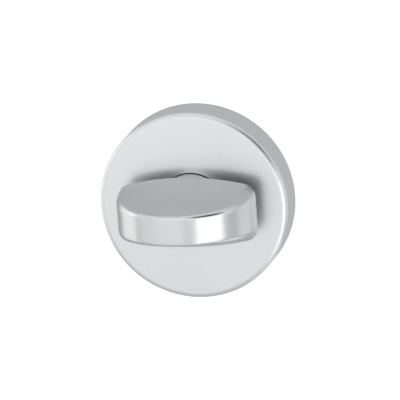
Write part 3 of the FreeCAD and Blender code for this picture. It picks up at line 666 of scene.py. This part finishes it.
class TURNLOCK_OT_screws(bpy.types.Operator):
    """Makes the two slotted screws with their cut threads"""

    bl_idname = "turnlock.screws"
    bl_label = "Make the screws"

    def execute(self, context):
        settings = context.scene.turnlock_screws
        back = WASHER_LOW.y
        head_points, head_faces = head_shape(settings, SCREW_LOW.y, back)
        shank_points, shank_faces = thread_shape(settings, back - settings.bite, LUG_HIGH.y, SCREW_HIGH.y)
        one = np.concatenate([head_points, shank_points])
        faces = np.concatenate([head_faces, shank_faces + len(head_points)])
        out = (SCREW_HIGH.x - settings.head_radius, 0, 0)
        both = np.concatenate([one + out, one - out])
        piece = mesh_piece("fixing_screws_threaded", both, np.concatenate([faces, faces + len(one)]))
        piece.data.materials.append(zinc_plating(context.scene.turnlock_finish))
        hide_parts("fixing_screws")
        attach(piece, "rose")
        return {"FINISHED"}


# Where what the metal mirrors turns darker: from the front to the back by the Y of the way, towards the flag
# by the cosine of the angle to it, and over the floor by its Y in metres.
BACK_TURN = (-0.15, 0.35)
FLAG_TURN = (0.86, 0.96)
FLOOR_TURN = (-0.42, -0.14)

# A greyer patch on the floor in front of the object: the X and Y of its middle, the distances from there over
# which it fades, and the share of the light that its middle keeps.
SHADE_PLACE = (0.20, -0.93)
SHADE_TURN = (0.04, 0.22)
SHADE_LEVEL = 0.45

# The camera's sensor in millimetres, and the nearest and the furthest that it sees.
SENSOR_WIDTH = 36.0
CLIP_RANGE = (0.01, 50.0)

# The watts of a soft box for each square metre and each unit of its brightness.
LAMP_WATTS = 4.0

# Degrees, metres and the brightness that each box adds to the white round it.
SOFT_BOXES = {
    "box_right": {"azimuth": 46, "elevation": -16, "width": 0.22, "height": 0.36, "brightness": 0.60},
    "box_front": {"azimuth": -8, "elevation": 5, "width": 0.34, "height": 0.20, "brightness": 0.14},
    "box_left": {
        "azimuth": -96,
        "elevation": 0,
        "width": 0.22,
        "height": 0.36,
        "brightness": 0.45,
        "tint": (1.0, 0.985, 0.96),
    },
    "box_back_right": {"azimuth": 116, "elevation": -8, "width": 0.20, "height": 0.24, "brightness": 0.22},
    "box_low_right": {
        "azimuth": 107,
        "elevation": -54,
        "width": 0.16,
        "height": 0.12,
        "brightness": 0.28,
        "distance": 0.24,
    },
}


def direction(azimuth, elevation):
    """The unit vector from the object round by an azimuth, to the right of -Y, and up by an elevation."""
    return Vector(
        (
            math.sin(azimuth) * math.cos(elevation),
            -math.cos(azimuth) * math.cos(elevation),
            math.sin(elevation),
        )
    )


def soft_box(name, azimuth, elevation, width, height, brightness, distance, tint=(1.0, 1.0, 1.0)):
    """An area lamp that faces the object, seen in reflections and not by the camera; angles in degrees."""
    lamp = bpy.data.lights.new(name, "AREA")
    lamp.shape = "RECTANGLE"
    lamp.size = width
    lamp.size_y = height
    lamp.energy = brightness * LAMP_WATTS * width * height
    lamp.color = tint
    box = new_object(name, lamp)
    away = direction(math.radians(azimuth), math.radians(elevation))
    turn = away.to_track_quat("Z", "Y").to_matrix().to_4x4()
    box.matrix_world = Matrix.Translation(away * distance) @ turn
    box.visible_camera = False


def mirror_rays(graph, path):
    """One for rays that a surface mirrors or lets through, and nought for the others."""
    return graph.math("MAXIMUM", path.outputs["Is Glossy Ray"], path.outputs["Is Transmission Ray"])


def lit_world(settings):
    """White to the camera, and of the sky level to matt surfaces.

    A mirror sees it at the front level, greyer towards the back, and darker round the flag at upper right.
    """
    world = bpy.data.worlds.new("studio")
    bpy.context.scene.world = world
    world.use_nodes = True
    world.node_tree.nodes.clear()
    graph = Graph(world.node_tree)
    way = graph.add("ShaderNodeTexCoord").outputs["Generated"]
    depth = graph.add("ShaderNodeSeparateXYZ", {0: way}).outputs["Y"]
    behind = graph.ramp(depth, *BACK_TURN, settings.front_level, settings.back_level, kind="SMOOTHSTEP")
    flag_way = direction(settings.flag_azimuth, settings.flag_elevation)
    toward = graph.add("ShaderNodeVectorMath", {0: way, 1: flag_way}, operation="DOT_PRODUCT")
    flag = graph.ramp(toward.outputs["Value"], *FLAG_TURN, 1.0, settings.flag_level, kind="SMOOTHSTEP")
    mirrored = graph.math("MULTIPLY", behind, flag)
    path = graph.add("ShaderNodeLightPath")
    strength = graph.ramp(mirror_rays(graph, path), 0.0, 1.0, settings.sky_level, mirrored)
    whole = graph.ramp(path.outputs["Is Camera Ray"], 0.0, 1.0, strength, 1.0)
    light = graph.add("ShaderNodeBackground", {"Color": (1, 1, 1, 1), "Strength": whole})
    graph.add("ShaderNodeOutputWorld", {"Surface": light.outputs[0]})


def floor_material(settings):
    """Pale and matt, and lifted towards white where the camera sees it, which leaves the object's shadow.

    A mirror sees a plain glow instead: at the front level in front of the object, with a greyer patch, and at
    the back level under it and behind it.
    """
    material, graph, shader = new_material("pale_floor")
    graph.feed(shader, {"Base Color": rgba(settings.floor_colour), "Roughness": settings.floor_roughness})
    path = graph.add("ShaderNodeLightPath")
    spot = graph.add("ShaderNodeTexCoord").outputs["Object"]
    depth = graph.add("ShaderNodeSeparateXYZ", {0: spot}).outputs["Y"]
    below = graph.ramp(depth, *FLOOR_TURN, settings.front_level, settings.back_level, kind="SMOOTHSTEP")
    middle = (*SHADE_PLACE, -settings.floor_drop)
    away = graph.add("ShaderNodeVectorMath", {0: spot, 1: middle}, operation="DISTANCE")
    shade_patch = graph.ramp(away.outputs["Value"], *SHADE_TURN, SHADE_LEVEL, 1.0, kind="SMOOTHSTEP")
    mirrored = graph.math("MULTIPLY", below, shade_patch)
    glow = graph.add("ShaderNodeEmission", {"Color": (1, 1, 1, 1), "Strength": mirrored})
    lift = graph.add("ShaderNodeEmission", {"Color": (1, 1, 1, 1), "Strength": settings.floor_lift})
    matt = shader.outputs[0]
    added = graph.add("ShaderNodeAddShader", {0: matt, 1: lift.outputs[0]}).outputs[0]
    eye = graph.add("ShaderNodeMixShader", {0: path.outputs["Is Camera Ray"], 1: matt, 2: added}).outputs[0]
    full = graph.add("ShaderNodeMixShader", {0: mirror_rays(graph, path), 1: eye, 2: glow.outputs[0]})
    graph.feed(graph.tree.nodes["output"], {"Surface": full.outputs[0]})
    return material


def lay_floor(settings):
    """A round floor under the object, its rim at radius (cos t, sin t) and t in equal steps."""
    t = np.linspace(0, 2 * np.pi, settings.floor_sides, endpoint=False)
    rim = settings.floor_radius * np.stack([np.cos(t), np.sin(t)], axis=-1)
    points = np.column_stack([rim, np.full(len(t), -settings.floor_drop)])
    mesh = bpy.data.meshes.new("floor")
    mesh.from_pydata(points.tolist(), [], [list(range(len(t)))])
    mesh.materials.append(floor_material(settings))
    return new_object("floor", mesh)


def place_camera(settings):
    """A camera at the photograph's angle: round by the azimuth, up by the elevation and rolled."""
    back = direction(settings.camera_azimuth, settings.camera_elevation)
    right = Vector((math.cos(settings.camera_azimuth), math.sin(settings.camera_azimuth), 0))
    up = back.cross(right)
    turn = Matrix((right, up, back)).transposed() @ Matrix.Rotation(settings.camera_roll, 3, "Z")
    aim = turn @ Vector((settings.aim_right, settings.aim_up, 0))
    lens = bpy.data.cameras.new("camera")
    lens.sensor_width = SENSOR_WIDTH
    lens.lens = SENSOR_WIDTH * settings.camera_distance / settings.view_width
    lens.clip_start, lens.clip_end = CLIP_RANGE
    camera = new_object("camera", lens)
    camera.matrix_world = Matrix.Translation(aim + back * settings.camera_distance) @ turn.to_4x4()
    bpy.context.scene.camera = camera


class TURNLOCK_OT_studio(bpy.types.Operator):
    """Sets the floor, the lamps, the world and the camera"""

    bl_idname = "turnlock.studio"
    bl_label = "Set the studio"

    def execute(self, context):
        settings = context.scene.turnlock_studio
        floor = lay_floor(settings)
        for name, placing in SOFT_BOXES.items():
            soft_box(name, **{"distance": settings.lamp_distance, **placing})
        lit_world(settings)
        place_camera(settings)
        context.scene.view_settings.view_transform = "Standard"
        return {"FINISHED"}


OPERATORS = [
    TURNLOCK_OT_rose,
    TURNLOCK_OT_grip,
    TURNLOCK_OT_bearing,
    TURNLOCK_OT_detent,
    TURNLOCK_OT_spindle,
    TURNLOCK_OT_base,
    TURNLOCK_OT_screws,
    TURNLOCK_OT_studio,
]


class TURNLOCK_PT_panel(bpy.types.Panel):
    """Lists the steps in the sidebar"""

    bl_label = "Thumb turn"
    bl_space_type = "VIEW_3D"
    bl_region_type = "UI"
    bl_category = "Thumb turn"

    def draw(self, context):
        for operator in OPERATORS:
            self.layout.operator(operator.bl_idname)


SETTINGS = {
    "turnlock_finish": FinishSettings,
    "turnlock_screws": ScrewSettings,
    "turnlock_studio": StudioSettings,
}
CLASSES = [*SETTINGS.values(), *OPERATORS, TURNLOCK_PT_panel]


def register():
    """Registers the classes and puts the settings on the scene."""
    for entry in CLASSES:
        bpy.utils.register_class(entry)
    for name, group in SETTINGS.items():
        setattr(bpy.types.Scene, name, PointerProperty(type=group))


def unregister():
    """Takes the settings off the scene and unregisters the classes."""
    for name in SETTINGS:
        delattr(bpy.types.Scene, name)
    for entry in reversed(CLASSES):
        bpy.utils.unregister_class(entry)


def main():
    """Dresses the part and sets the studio."""
    register()
    bpy.ops.turnlock.rose()
    bpy.ops.turnlock.grip()
    bpy.ops.turnlock.bearing()
    bpy.ops.turnlock.detent()
    bpy.ops.turnlock.spindle()
    bpy.ops.turnlock.base()
    bpy.ops.turnlock.screws()
    bpy.ops.turnlock.studio()


if __name__ == "__main__":
    main()
